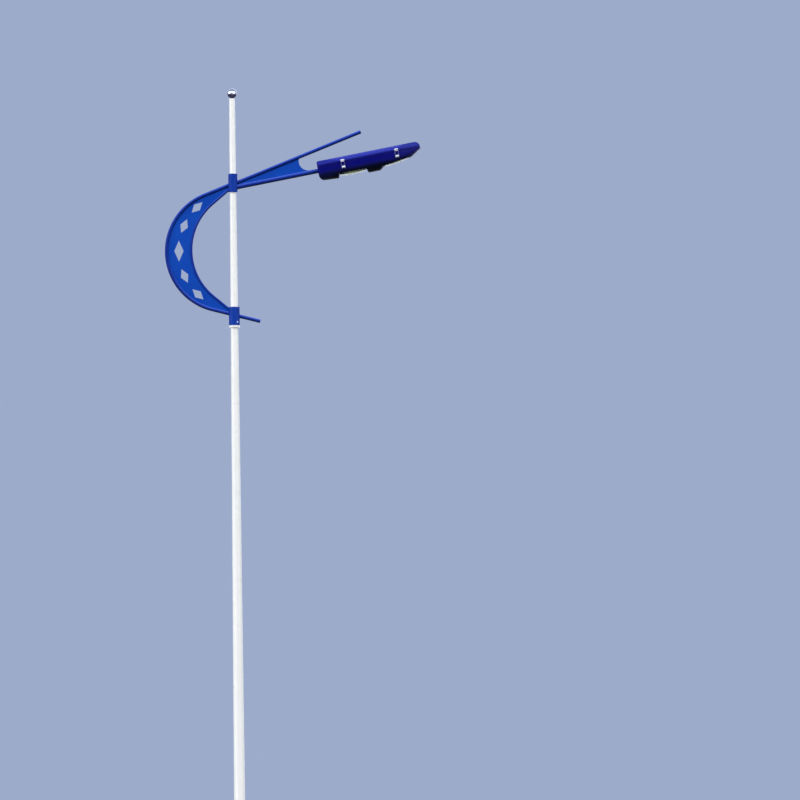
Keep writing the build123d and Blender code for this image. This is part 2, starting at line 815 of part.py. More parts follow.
def make_latch_lever(x):
    front = latch_y - lever_reach
    low = latch_pivot_z + lever_start
    lever = block((x - latch_width / 2, x + latch_width / 2), (front, front + lever_thickness),
                  (low, low + lever_length))
    for side in (-1, 1):
        near = x + min(side * cheek_in, side * cheek_out)
        far = near + lever_cheek
        lever += block((near, far), (front, latch_y + latch_ear_r), (latch_pivot_z, low + lever_length / 2))
        lever += bar_along(near, far, latch_ear_r, latch_y, latch_pivot_z)
        hole_r = latch_pin_d / 2 + hinge_run_gap
        lever -= bar_along(near - latch_gap, far + latch_gap, hole_r, latch_y, latch_pivot_z)
    return lever


def make_latch_bail(x):
    top_y = -side_y - keeper_reach - latch_gap - bail_wire_d / 2
    foot_z = latch_pivot_z + lever_start
    top_z = keeper_z + keeper_height / 2
    points = [Vector(x - bail_x, latch_y, foot_z), Vector(x - bail_x, top_y, top_z),
              Vector(x + bail_x, top_y, top_z), Vector(x + bail_x, latch_y, foot_z)]
    path = FilletPolyline(*points, radius=bail_bend_r)
    start = Plane(origin=path @ 0, z_dir=path % 0)
    return sweep(start * Circle(bail_wire_d / 2), path=path)


def make_latch_keepers():
    cover = cover_form(-weld_gap, lum_seam + closed_gap)
    keepers = []
    for x in latch_xs:
        half = keeper_width / 2
        width = (x - half, x + half)
        outer = -side_y - keeper_reach
        shelf = block(width, (outer, -side_y + keeper_root), (keeper_z, keeper_z + keeper_thickness))
        lip = block(width, (outer, outer + keeper_thickness), (keeper_z, keeper_z + keeper_height))
        keepers.append((shelf + lip - cover).solid())
    return Compound(children=keepers)


spar_path = sloped_line(spar_axis_z, spar_slope, 0, spar_reach)

parts = {
    "base_plate": make_base_plate(),
    "base_gussets": make_base_gussets(),
    "pole_shaft": make_pole_shaft(),
    "door_frame": make_door_frame(),
    "service_door": make_service_door(),
    "pole_cap": make_pole_cap(),
    "finial_ball": make_finial_ball(),
    "upper_collar": make_collar(upper_collar_d, upper_collar_z),
    "lower_collar": make_collar(lower_collar_d, lower_collar_z),
    "support_ring": make_support_ring(),
    "spar_tube": make_spar_tube(),
    "spar_end_cap": make_end_cap(spar_path, spar_d, spar_wall),
    "arm_tube": make_arm_tube(),
    "arm_web": make_arm_web(),
    "crescent_plate": make_crescent_plate(),
    "crescent_outer_rim": make_outer_rim(),
    "crescent_inner_rim": make_inner_rim(),
    "tail_stub": make_tail_stub(),
    "tail_end_cap": make_end_cap(tail_path(), outer_rim_d, outer_rim_wall),
}

luminaire = {
    "luminaire_tray": make_luminaire_tray(),
    "seam_gasket": make_seam_gasket(),
    "rear_lens": make_lens(rear_lens_place, rear_lens_length, rear_lens_width,
                           rear_glass_sag, rear_glass_rim),
    "front_lens": make_lens(front_lens_place, front_lens_length, front_lens_width,
                            front_glass_sag, front_glass_rim),
    "rear_lens_frame": make_lens_frame(rear_lens_place, rear_lens_length, rear_lens_width),
    "front_lens_frame": make_lens_frame(front_lens_place, front_lens_length, front_lens_width),
    "rear_reflector": make_reflector(rear_lens_place, rear_lens_length, rear_lens_width),
    "front_reflector": make_reflector(front_lens_place, front_lens_length, front_lens_width),
    "rear_lamp": make_lamp(rear_lens_place, rear_lens_length, rear_lamp_length),
    "front_lamp": make_lamp(front_lens_place, front_lens_length, front_lamp_length),
    "rear_lampholder": make_lampholder(rear_lens_place, rear_lens_length),
    "front_lampholder": make_lampholder(front_lens_place, front_lens_length),
    "spigot_clamp": make_spigot_clamp(),
    "ballasts": make_ballasts(),
    "ignitors": make_ignitors(),
    "hinge_brackets": make_hinge_brackets(),
    "rear_latch_base": make_latch_base(latch_xs[0]),
    "front_latch_base": make_latch_base(latch_xs[1]),
    "luminaire_cover": make_luminaire_cover(),
    "cover_hinge_leaves": make_cover_hinge_leaves(),
    "latch_keepers": make_latch_keepers(),
    "rear_latch_lever": make_latch_lever(latch_xs[0]),
    "front_latch_lever": make_latch_lever(latch_xs[1]),
    "rear_latch_bail": make_latch_bail(latch_xs[0]),
    "front_latch_bail": make_latch_bail(latch_xs[1]),
}
for name, shape in luminaire.items():
    parts[name] = lum_place * shape

os.makedirs("parts", exist_ok=True)
for name, shape in parts.items():
    export_step(shape, "parts/" + name + ".step")


def on_arm(x, y, z):
    point = (lum_place * Pos(x, y, z)).position
    return [round(value / 1000, 6) for value in point]


print("cover hinge", on_arm(hinge_xs[0], hinge_y, lum_seam))
print("rear latch pivot", on_arm(latch_xs[0], latch_y, latch_pivot_z))
print("front latch pivot", on_arm(latch_xs[1], latch_y, latch_pivot_z))
print("arm direction", round(cos(radians(arm_slope)), 6), round(sin(radians(arm_slope)), 6))
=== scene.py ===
import math
import random

import bpy
from mathutils import Matrix, Vector


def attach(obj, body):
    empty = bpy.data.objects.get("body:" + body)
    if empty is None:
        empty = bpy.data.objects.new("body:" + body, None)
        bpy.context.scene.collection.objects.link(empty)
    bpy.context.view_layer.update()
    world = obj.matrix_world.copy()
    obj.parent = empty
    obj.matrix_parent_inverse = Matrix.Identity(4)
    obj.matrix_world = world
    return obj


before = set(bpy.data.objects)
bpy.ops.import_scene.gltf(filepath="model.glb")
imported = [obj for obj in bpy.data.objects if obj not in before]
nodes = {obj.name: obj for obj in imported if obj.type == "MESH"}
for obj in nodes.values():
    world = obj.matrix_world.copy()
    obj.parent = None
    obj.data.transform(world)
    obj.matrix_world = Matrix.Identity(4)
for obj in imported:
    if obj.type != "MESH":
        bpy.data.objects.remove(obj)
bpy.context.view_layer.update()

# Looks of a painted twin-lens street light on a tapered column. Metres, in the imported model's frame.
# The origin is the centre of the base plate's underside, +X runs along the arm and +Z is up.

random.seed(11)

# Sizes of the column and the bracket, as the solids have them
weld_gap = 0.0001
overall_height = 9.0
plate_thickness = 0.016
shaft_base_r = 0.063
shaft_top_r = 0.030
ball_r = 0.051
ball_neck_r = 0.015
ball_neck_height = 0.002
cap_lip = 0.002
upper_collar_drop = 0.985
collar_spacing = 1.391
collar_height = 0.190
upper_collar_r = 0.0485
lower_collar_r = 0.058
spar_below_collar = 0.013
spar_slope = math.radians(21.6)
spar_r = 0.019
arm_below_collar = 0.052
arm_slope = math.radians(10.6)
arm_r = 0.024
arm_reach = 0.893
outer_rim_rise = 0.008
outer_rim_depth = 0.700
outer_rim_r = 0.019
tail_rise = 0.0124
tail_slope = math.radians(14.5)
inner_rim_top_drop = 0.0345
inner_rim_foot_rise = 0.0275
inner_rim_depth = 0.443
inner_rim_r = 0.013
inner_rim_slope = math.radians(40.0)
crescent_thickness = 0.005
web_thickness = 0.005
gusset_reach = 0.066
gusset_height = 0.140
gusset_thickness = 0.008
door_centre_z = 0.700
door_height = 0.300

# Sizes of the luminaire, in its own axes: x along the arm from the rear face, z square to it
lum_length = 1.092
lum_half_width = 0.166
lum_seam = 0.035
lum_wall = 0.003
rear_lump_end = 0.195
skirt_z = -0.072
middle_lump_start = 0.512
middle_lump_end = 0.635
middle_lump_run = 0.037
middle_lump_z = -0.117
underside_low_z = -0.084
underside_high_z = -0.042
nose_back = 0.117
lens_sizes = {"rear": (0.270, 0.214), "front": (0.256, 0.190)}
front_lens_inset = 0.016
lens_ledge = 0.012
lens_frame_width = 0.009
lens_frame_height = 0.006
fit_gap = 0.0003
lamp_lengths = {"rear": 0.190, "front": 0.150}
lamp_height = 0.036
rear_hinge_x = 0.292
front_hinge_back = 0.355
hinge_offset = 0.013
hinge_leaf_width = 0.034
hinge_side_gap = 0.001
hinge_ear_width = 0.008
rear_latch_x = 0.273
front_latch_back = 0.248
latch_pivot_z = -0.033
ballast_inset = 0.016
ballast_length = 0.096
ballast_gap = 0.020
ballast_width = 0.078
ballast_height = 0.074

# Heights that follow from the column's height
upper_collar_z = overall_height - upper_collar_drop
lower_collar_z = upper_collar_z - collar_spacing
spar_axis_z = upper_collar_z - spar_below_collar
arm_axis_z = upper_collar_z - arm_below_collar
outer_rim_top_z = spar_axis_z + outer_rim_rise
tail_axis_z = lower_collar_z + tail_rise
inner_rim_top_z = upper_collar_z - inner_rim_top_drop
inner_rim_foot_z = lower_collar_z + inner_rim_foot_rise
ball_seat = math.sqrt(ball_r ** 2 - ball_neck_r ** 2)
shaft_top_z = overall_height - ball_r - ball_seat - ball_neck_height - cap_lip

# Places in the luminaire that follow from its sizes
underside_start_x = middle_lump_end + middle_lump_run
underside_run = lum_length - nose_back - underside_start_x
underside_slope = math.atan2(underside_high_z - underside_low_z, underside_run)
rear_lens_x = (rear_lump_end + middle_lump_start) / 2
front_lens_ahead = front_lens_inset + lens_sizes["front"][0] / 2
front_lens_x = underside_start_x + front_lens_ahead
front_lens_z = underside_low_z + front_lens_ahead * math.tan(underside_slope)
lamp_axis_z = lamp_height + fit_gap
hinge_xs = (rear_hinge_x, lum_length - front_hinge_back)
hinge_y = lum_half_width + hinge_offset
hinge_boss_end = hinge_leaf_width / 2 + hinge_side_gap + hinge_ear_width
latch_xs = {"rear": rear_latch_x, "front": lum_length - front_latch_back}
ballast_start = middle_lump_start + ballast_inset
ballast_floor = middle_lump_z + lum_wall + weld_gap
ballast_x = (ballast_start, ballast_start + ballast_length)
ballast_y = (ballast_gap / 2, ballast_gap / 2 + ballast_width)
ballast_z = (ballast_floor, ballast_floor + ballast_height)

arm_end = (arm_reach, 0, arm_axis_z + arm_reach * math.tan(arm_slope))
on_arm = Matrix.Translation(arm_end) @ Matrix.Rotation(-arm_slope, 4, "Y")
lens_places = {
    "rear": on_arm @ Matrix.Translation((rear_lens_x, 0, skirt_z)),
    "front": (on_arm @ Matrix.Translation((front_lens_x, 0, front_lens_z))
              @ Matrix.Rotation(-underside_slope, 4, "Y")),
}


# Geometry

def band(low, high):
    """Faces between two rings of point numbers, of which one may be a single point."""
    sides = max(len(low), len(high))
    faces = []
    for side in range(sides):
        after = (side + 1) % sides
        if len(low) == 1:
            faces.append([low[0], high[after], high[side]])
        elif len(high) == 1:
            faces.append([low[side], low[after], high[0]])
        else:
            faces.append([low[side], low[after], high[after], high[side]])
    return faces


def bands(rings):
    """Faces between each ring and the next."""
    return [face for low, high in zip(rings, rings[1:]) for face in band(low, high)]


class Shape:
    """Points and faces gathered for one piece."""

    def __init__(self):
        self.points = []
        self.faces = []

    def add(self, points, faces, place=None):
        """Adds points and faces, moved to a place if one is given."""
        start = len(self.points)
        for point in points:
            self.points.append(place @ Vector(point) if place else Vector(point))
        for face in faces:
            self.faces.append([start + index for index in face])

    def lathe(self, profile, sides, place):
        """A profile of (radius, height) turned round the local Z axis; a radius of 0 closes it."""
        points = []
        rings = []
        for radius, height in profile:
            if radius == 0:
                rings.append([len(points)])
                points.append((0, 0, height))
                continue
            rings.append([len(points) + side for side in range(sides)])
            for side in range(sides):
                angle = math.tau * side / sides
                points.append((radius * math.cos(angle), radius * math.sin(angle), height))
        self.add(points, bands(rings), place)

    def tube(self, path, radius_at, sides, closed=False):
        """A round tube along a list of points, its radius given by the distance along it."""
        count = len(path)
        rings = []
        points = []
        side_way = None
        travelled = 0.0
        for index, point in enumerate(path):
            before = path[index - 1] if index or closed else point
            after = path[(index + 1) % count] if index < count - 1 or closed else point
            along = (after - before).normalized()
            if side_way is None:
                side_way = along.orthogonal().normalized()
            side_way = (side_way - along * side_way.dot(along)).normalized()
            other = along.cross(side_way)
            if index:
                travelled += (point - path[index - 1]).length
            radius = radius_at(travelled)
            rings.append([len(points) + side for side in range(sides)])
            for side in range(sides):
                angle = math.tau * side / sides
                aside = point + side_way * (radius * math.cos(angle))
                points.append(aside + other * (radius * math.sin(angle)))
        if closed:
            faces = bands(rings + rings[:1])
        else:
            faces = bands(rings) + [rings[0][::-1], rings[-1]]
        self.add(points, faces)

    def rounded_box(self, low, high, radius, place, steps=3):
        """A box whose upright edges and rims are rounded."""
        turns = [math.radians(90) * step / steps for step in range(steps + 1)]
        outline = []
        for corner, (sign_x, sign_y) in enumerate(((1, 1), (-1, 1), (-1, -1), (1, -1))):
            centre_x = (high[0] - radius) if sign_x > 0 else (low[0] + radius)
            centre_y = (high[1] - radius) if sign_y > 0 else (low[1] + radius)
            for step in range(steps + 1):
                angle = math.radians(90) * (corner + step / steps)
                outline.append((centre_x, centre_y, math.cos(angle), math.sin(angle)))
        levels = []
        for turn in turns:
            levels.append((low[2] + radius - radius * math.cos(turn), radius * math.sin(turn)))
        for turn in turns[::-1]:
            levels.append((high[2] - radius + radius * math.cos(turn), radius * math.sin(turn)))
        points = [(x + reach * way_x, y + reach * way_y, z)
                  for z, reach in levels for x, y, way_x, way_y in outline]
        size = len(outline)
        rings = [list(range(level * size, level * size + size)) for level in range(len(levels))]
        self.add(points, [rings[0][::-1]] + bands(rings) + [rings[-1]], place)

    def mesh(self, name):
        """A Blender mesh of the points and faces."""
        made = bpy.data.meshes.new(name)
        made.from_pydata([tuple(point) for point in self.points], [], self.faces)
        return made

    def piece(self, name, body, slot, material, sharp=35.0):
        """Makes the object that rides on a body, with its edges sharper than an angle kept sharp."""
        mesh = self.mesh(name)
        mesh.validate()
        mesh.polygons.foreach_set("use_smooth", [True] * len(mesh.polygons))
        mesh.set_sharp_from_angle(angle=math.radians(sharp))
        mesh.materials.append(material)
        made = bpy.data.objects.new(name, mesh)
        bpy.context.scene.collection.objects.link(made)
        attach(made, body)


def facing(origin, direction):
    """A place whose local Z points along a direction."""
    return Matrix.Translation(origin) @ Vector(direction).to_track_quat("Z", "Y").to_matrix().to_4x4()


def shaft_r(z):
    """The shaft's outside radius at a height."""
    share = (z - plate_thickness) / (shaft_top_z - plate_thickness)
    return shaft_base_r + (shaft_top_r - shaft_base_r) * share


# Colours

def linear(value):
    """The linear share that an sRGB value of 0 to 255 stands for."""
    share = value / 255
    return share / 12.92 if share <= 0.04045 else ((share + 0.055) / 1.055) ** 2.4


def colour(red, green, blue):
    """An sRGB colour of 0 to 255 as the linear colour that shaders take."""
    return (linear(red), linear(green), linear(blue), 1.0)


sky_colour = colour(157, 171, 202)
dust_colour = colour(168, 170, 172)
grime_colour = colour(140, 134, 122)
# Painted shade: the near-black that the luminaire's belly and chin turn to
shade_colour = colour(2, 6, 16)
lens_film = colour(178, 184, 150)
worn_bracket = colour(120, 126, 140)
worn_luminaire = colour(112, 116, 136)


# Node materials

# Where a Mix node keeps its two colours and their blend, as its sockets' names repeat
mix_first = 6
mix_second = 7
mix_result = 2

# How closely the rounded normal follows the true one on a flat surface and at an edge
flat_match = 0.985
edge_match = 0.90

edge_samples = 4
noise_roughness = 0.55


class Look:
    """A node material under construction."""

    def __init__(self, name):
        self.material = bpy.data.materials.new(name)
        self.material.use_nodes = True
        self.tree = self.material.node_tree
        self.tree.nodes.clear()
        self.output = self.tree.nodes.new("ShaderNodeOutputMaterial")
        self.shader = self.tree.nodes.new("ShaderNodeBsdfPrincipled")
        self.tree.links.new(self.shader.outputs["BSDF"], self.output.inputs["Surface"])
        self.coords = self.tree.nodes.new("ShaderNodeTexCoord")

    def set(self, **values):
        """Fixed values for the shader's sockets, named with _ in place of a space."""
        for key, value in values.items():
            self.shader.inputs[key.replace("_", " ")].default_value = value

    def link(self, source, key):
        self.tree.links.new(source, self.shader.inputs[key])

    def feed(self, socket, value):
        """Links another node's socket to this one, or sets a fixed value on it."""
        if isinstance(value, bpy.types.NodeSocket):
            self.tree.links.new(value, socket)
        else:
            socket.default_value = value

    def noise(self, scale, detail, stretch=(1, 1, 1)):
        mapping = self.tree.nodes.new("ShaderNodeMapping")
        mapping.inputs["Scale"].default_value = stretch
        self.tree.links.new(self.coords.outputs["Object"], mapping.inputs["Vector"])
        texture = self.tree.nodes.new("ShaderNodeTexNoise")
        texture.inputs["Scale"].default_value = scale
        texture.inputs["Detail"].default_value = detail
        texture.inputs["Roughness"].default_value = noise_roughness
        self.tree.links.new(mapping.outputs["Vector"], texture.inputs["Vector"])
        return texture.outputs["Fac"]

    def ramp(self, source, low, high, to_low=0.0, to_high=1.0):
        """A value that goes from to_low to to_high while the source goes from low to high."""
        node = self.tree.nodes.new("ShaderNodeMapRange")
        node.inputs["From Min"].default_value = low
        node.inputs["From Max"].default_value = high
        node.inputs["To Min"].default_value = to_low
        node.inputs["To Max"].default_value = to_high
        self.tree.links.new(source, node.inputs["Value"])
        return node.outputs["Result"]

    def combine(self, kind, operation, values):
        node = self.tree.nodes.new(kind)
        node.operation = operation
        for socket, value in zip(node.inputs, values):
            self.feed(socket, value)
        return node.outputs["Value"]

    def times(self, first, second):
        return self.combine("ShaderNodeMath", "MULTIPLY", (first, second))

    def plus(self, first, second):
        return self.combine("ShaderNodeMath", "ADD", (first, second))

    def larger(self, first, second):
        return self.combine("ShaderNodeMath", "MAXIMUM", (first, second))

    def dot(self, first, second):
        return self.combine("ShaderNodeVectorMath", "DOT_PRODUCT", (first, second))

    def length(self, vector):
        return self.combine("ShaderNodeVectorMath", "LENGTH", (vector,))

    def mix(self, share, first, second):
        """The first colour where the share is 0, and the second where it is 1."""
        node = self.tree.nodes.new("ShaderNodeMix")
        node.data_type = "RGBA"
        self.feed(node.inputs["Factor"], share)
        self.feed(node.inputs[mix_first], first)
        self.feed(node.inputs[mix_second], second)
        return node.outputs[mix_result]

    def upward(self, coordinate):
        """The Z part of a texture coordinate."""
        split = self.tree.nodes.new("ShaderNodeSeparateXYZ")
        self.tree.links.new(self.coords.outputs[coordinate], split.inputs["Vector"])
        return split.outputs["Z"]

    def facing_up(self, low=0.35, high=0.95):
        """1 on surfaces that face up and 0 on upright ones; low above high picks those that face down."""
        return self.ramp(self.upward("Normal"), low, high)

    def near_ground(self, height):
        """1 at the ground, and falling to 0 at a height."""
        return self.ramp(self.upward("Object"), 0.0, height, 1.0, 0.0)

    def along(self, way, low, high):
        """0 to 1 between two distances from the origin along a direction."""
        return self.ramp(self.dot(self.coords.outputs["Object"], way), low, high)

    def edges(self, radius):
        """1 at sharp edges and 0 on flat surfaces."""
        rounded = self.tree.nodes.new("ShaderNodeBevel")
        rounded.samples = edge_samples
        rounded.inputs["Radius"].default_value = radius
        plain = self.tree.nodes.new("ShaderNodeNewGeometry")
        match = self.dot(rounded.outputs["Normal"], plain.outputs["Normal"])
        return self.ramp(match, flat_match, edge_match)

    def bump(self, source, distance, strength, under=None):
        """A normal raised by a source, on top of another one if that is given."""
        node = self.tree.nodes.new("ShaderNodeBump")
        node.inputs["Distance"].default_value = distance
        node.inputs["Strength"].default_value = strength
        self.tree.links.new(source, node.inputs["Height"])
        if under:
            self.tree.links.new(under, node.inputs["Normal"])
        return node.outputs["Normal"]


# Paint

# How far each wear, the crown's painted highlight and the painted shade cover the paint's own colour
streak_share = 0.22
crown_share = 0.85
shade_share = 0.9
chip_share = 0.55
splash_share = 0.55

# How much rougher than clean paint dust is, and the paint under painted shade
dust_roughness = 0.25
shade_roughness = 0.6

# How high rain splashes dirt, and how wide the worn strip along an edge is
splash_height = 0.55
chip_radius = 0.0012


def top_highlight(look, crown):
    """Where a painted highlight lightens a paint: on its upper faces, and over its crown if it has one."""
    upper = look.facing_up(0.15, 0.75)
    if not crown:
        return upper
    return look.larger(upper, look.times(look.along(*crown), crown_share))


def shade_film(look, shade_bands, speck):
    """Where painted shade lies: over two bands of height, a little unevenly."""
    film = look.larger(*[look.along(*limits) for limits in shade_bands])
    return look.times(film, look.ramp(speck, 0.0, 0.5, 0.8, 1.0))


def chipping(look):
    """Where a sharp edge has lost its paint, here and there."""
    spots = look.ramp(look.noise(scale=120.0, detail=3.0), 0.52, 0.62)
    return look.times(look.edges(chip_radius), spots)


def splashing(look):
    """Where rain throws dirt up from the ground."""
    patches = look.ramp(look.noise(scale=14.0, detail=5.0), 0.35, 0.75, 0.35, 1.0)
    return look.times(look.near_ground(splash_height), patches)


def paint(name, base, deep, worn, roughness, coat=0.3, dust=0.25, specular=0.5, lit_top=None, under=None,
          crown=None, shade_bands=None, base_grime=False):
    """Sprayed and stoved paint: its tone drifts from base to deep, rain streaks it and edges wear.

    The colours for upper and lower faces are a painted highlight and painted shade. crown is a direction with
    two distances along it, between which the painted highlight spreads over the whole paint, and the shade
    bands are a pair of the same, between which painted shade blackens it."""
    look = Look(name)
    drift = look.noise(scale=2.4, detail=4.0)
    tone = look.mix(look.ramp(drift, 0.3, 0.7), deep, base)
    streak = look.noise(scale=26.0, detail=4.0, stretch=(1.0, 1.0, 0.06))
    tone = look.mix(look.times(look.ramp(streak, 0.55, 0.8), streak_share), tone, deep)
    speck = look.noise(scale=48.0, detail=5.0)
    lying = look.times(look.facing_up(), look.ramp(speck, 0.35, 0.7))
    smear = look.noise(scale=9.0, detail=5.0)
    rough = look.ramp(smear, 0.3, 0.7, roughness - 0.06, roughness + 0.09)
    rough = look.plus(rough, look.times(lying, dust_roughness))
    # Painted shade: faces that turn downwards darken towards the under colour.
    if under:
        tone = look.mix(look.facing_up(-0.05, -0.75), tone, under)
    # Painted highlight: upper faces, and the crown where there is one, lighten towards the lit colour.
    if lit_top:
        tone = look.mix(top_highlight(look, crown), tone, lit_top)
    # Painted shade: across the belly and chin bands the paint blackens, and grows rougher.
    if shade_bands:
        film = shade_film(look, shade_bands, speck)
        tone = look.mix(look.times(film, shade_share), tone, shade_colour)
        rough = look.plus(rough, look.times(film, shade_roughness))
    tone = look.mix(look.times(lying, dust), tone, dust_colour)
    tone = look.mix(look.times(chipping(look), chip_share), tone, worn)
    if base_grime:
        tone = look.mix(look.times(splashing(look), splash_share), tone, grime_colour)
    look.link(tone, "Base Color")
    look.link(rough, "Roughness")
    peel = look.bump(look.noise(scale=330.0, detail=2.0), distance=0.00008, strength=0.6)
    waves = look.bump(look.noise(scale=18.0, detail=2.0), distance=0.0006, strength=0.35, under=peel)
    look.link(waves, "Normal")
    look.set(Coat_Weight=coat, Coat_Roughness=0.07, Specular_IOR_Level=specular)
    return look.material


# Metal, rubber, ceramic and glass

def metal(name, bright, dull, roughness, grain, stretch=(1, 1, 1), smudge=0.12, ground_reflection=None):
    """Bare metal with grain along one direction, smudges, duller patches and perhaps a painted dark
    reflection underneath.
    """
    look = Look(name)
    patch = look.noise(scale=16.0, detail=4.0)
    tone = look.mix(look.ramp(patch, 0.35, 0.75), bright, dull)
    # Painted reflection: lower faces darken, as if they mirrored dark ground.
    if ground_reflection:
        under = look.plus(look.facing_up(0.10, -0.25), look.ramp(patch, 0.3, 0.7, -0.15, 0.15))
        tone = look.mix(under, tone, ground_reflection)
    look.link(tone, "Base Color")
    lines = look.noise(grain, detail=4.0, stretch=stretch)
    smear = look.noise(scale=30.0, detail=5.0)
    rough = look.ramp(smear, 0.3, 0.7, roughness, roughness + smudge)
    look.link(look.plus(rough, look.times(lines, 0.05)), "Roughness")
    look.link(look.bump(lines, distance=0.00006, strength=0.5), "Normal")
    look.set(Metallic=1.0)
    return look.material


def matt(name, light, dark, roughness, grain, depth, specular=0.5):
    """Rubber or ceramic, finely grained, with broader patches in its tone and its gloss."""
    look = Look(name)
    patch = look.noise(grain / 8, detail=4.0)
    look.link(look.mix(look.ramp(patch, 0.3, 0.7), dark, light), "Base Color")
    smear = look.noise(grain / 2, detail=4.0)
    look.link(look.ramp(smear, 0.3, 0.7, roughness - 0.08, roughness + 0.08), "Roughness")
    look.link(look.bump(look.noise(grain, detail=3.0), distance=depth, strength=0.6), "Normal")
    look.set(Specular_IOR_Level=specular)
    return look.material


def glass(name, tint, roughness, ripple_scale, ripple_depth, stretch=(1, 1, 1)):
    """Clear or pressed glass, faintly rippled, with a film of dust that dulls it in patches."""
    look = Look(name)
    film = look.noise(scale=22.0, detail=5.0)
    look.link(look.mix(look.ramp(film, 0.4, 0.8), tint, lens_film), "Base Color")
    look.link(look.ramp(film, 0.3, 0.8, roughness, roughness + 0.12), "Roughness")
    ripple = look.noise(ripple_scale, detail=2.0, stretch=stretch)
    look.link(look.bump(ripple, distance=ripple_depth, strength=0.5), "Normal")
    look.set(Transmission_Weight=1.0, IOR=1.5)
    return look.material


# Materials of the solids, by slot

# Two upward directions, square to the arm and to the front lens. Each level is the distance along its
# direction from the origin to the arm's axis and to that lens.
lum_up = (-math.sin(arm_slope), 0.0, math.cos(arm_slope))
lum_level = arm_axis_z * math.cos(arm_slope)
nose_up = tuple(lens_places["front"].to_3x3() @ Vector((0, 0, 1)))
nose_level = lens_places["front"].translation.dot(nose_up)

# Bands of the luminaire, each a direction and the two distances along it between which paint changes
# The crown gets a painted highlight, and the belly and chin get painted shade.
lit_crown = (lum_up, lum_level + 0.040, lum_level + 0.060)
shaded_belly = (lum_up, lum_level - 0.016, lum_level - 0.064)
shaded_chin = (nose_up, nose_level + 0.052, nose_level + 0.002)

looks = {
    "column_paint": paint(
        "column_white", base=colour(249, 250, 250), deep=colour(244, 246, 246), worn=colour(150, 140, 130),
        roughness=0.30, dust=0.12, base_grime=True),
    # The ball's darker lower half is a painted reflection of dark ground.
    "polished_ball": metal(
        "polished_steel", bright=colour(226, 228, 236), dull=colour(196, 198, 208), roughness=0.05,
        grain=40.0, smudge=0.05, ground_reflection=colour(52, 52, 84)),
    "collar_paint": paint(
        "collar_blue", base=colour(14, 62, 166), deep=colour(8, 48, 150), worn=worn_bracket,
        roughness=0.30, coat=0.0, specular=0.09),
    "bracket_paint": paint(
        "bracket_blue", base=colour(18, 78, 186), deep=colour(10, 64, 170), worn=worn_bracket,
        roughness=0.30, coat=0.0, dust=0.12, specular=0.08),
    # The luminaire's blue gets a painted highlight on its upper faces and crown, and painted shade below.
    "luminaire_paint": paint(
        "luminaire_blue", base=colour(6, 9, 114), deep=colour(4, 5, 98), worn=worn_luminaire,
        roughness=0.30, coat=0.0, dust=0.10, specular=0.07, lit_top=colour(46, 57, 168), under=colour(2, 4, 38),
        crown=lit_crown, shade_bands=(shaded_belly, shaded_chin)),
    "stainless": metal(
        "stainless", bright=colour(232, 234, 236), dull=colour(206, 208, 212), roughness=0.16,
        grain=140.0, stretch=(1, 1, 0.05)),
    "frame_metal": paint(
        "frame_blue", base=colour(6, 9, 84), deep=colour(4, 6, 66), worn=worn_luminaire,
        roughness=0.34, coat=0.0, dust=0.0, specular=0.12),
    "seal_rubber": matt(
        "seal_rubber", light=colour(14, 14, 22), dark=colour(9, 9, 15), roughness=0.62, grain=380.0,
        depth=0.0001, specular=0.08),
    "lens_glass": glass(
        "lens_glass", tint=colour(166, 174, 146), roughness=0.06, ripple_scale=150.0, ripple_depth=0.0008,
        stretch=(0.15, 1, 1)),
    "bright_aluminium": metal(
        "bright_aluminium", bright=colour(240, 241, 242), dull=colour(222, 224, 226), roughness=0.12,
        grain=100.0, stretch=(0.06, 1, 1)),
    "lamp_glass": glass(
        "lamp_glass", tint=colour(246, 248, 246), roughness=0.01, ripple_scale=40.0, ripple_depth=0.0001),
    "white_ceramic": matt(
        "white_ceramic", light=colour(238, 236, 228), dark=colour(226, 222, 212), roughness=0.34, grain=160.0,
        depth=0.00006),
    "cast_clamp": metal(
        "cast_aluminium", bright=colour(176, 178, 180), dull=colour(150, 152, 155), roughness=0.42,
        grain=210.0),
    "gear_steel": metal(
        "lamination_steel", bright=colour(118, 120, 124), dull=colour(92, 94, 98), roughness=0.38,
        grain=620.0, stretch=(0.02, 1, 0.02)),
    "gear_can": metal(
        "gear_can", bright=colour(206, 208, 210), dull=colour(184, 186, 190), roughness=0.24, grain=60.0),
}

# Materials that only some of a slot's nodes or pieces have
# The tubes' blue is darker than the plates', with a painted highlight on upper faces and painted shade below.
tube_paint = paint(
    "tube_blue", base=colour(18, 54, 156), deep=colour(10, 42, 138), worn=worn_bracket,
    roughness=0.30, coat=0.0, dust=0.12, specular=0.08, lit_top=colour(62, 92, 196), under=colour(3, 9, 58))
wire_steel = metal(
    "wire_steel", bright=colour(120, 122, 130), dull=colour(96, 98, 106), roughness=0.30, grain=200.0)
lever_steel = metal(
    "lever_steel", bright=colour(226, 228, 231), dull=colour(210, 212, 216), roughness=0.52,
    grain=140.0, stretch=(1, 1, 0.05))
keeper_steel = metal(
    "keeper_steel", bright=colour(246, 247, 249), dull=colour(232, 234, 238), roughness=0.66,
    grain=140.0, stretch=(1, 1, 0.05))
copper = metal(
    "enamelled_copper", bright=colour(176, 98, 52), dull=colour(150, 78, 38), roughness=0.30,
    grain=420.0, stretch=(0.04, 1, 1))
arc_ceramic = matt(
    "arc_tube_ceramic", light=colour(236, 230, 216), dark=colour(224, 216, 198), roughness=0.40, grain=240.0,
    depth=0.00005)


def dress(names, material):
    """Gives nodes a material of their own in place of their slot's."""
    for name in names:
        nodes[name].material_slots[0].material = material


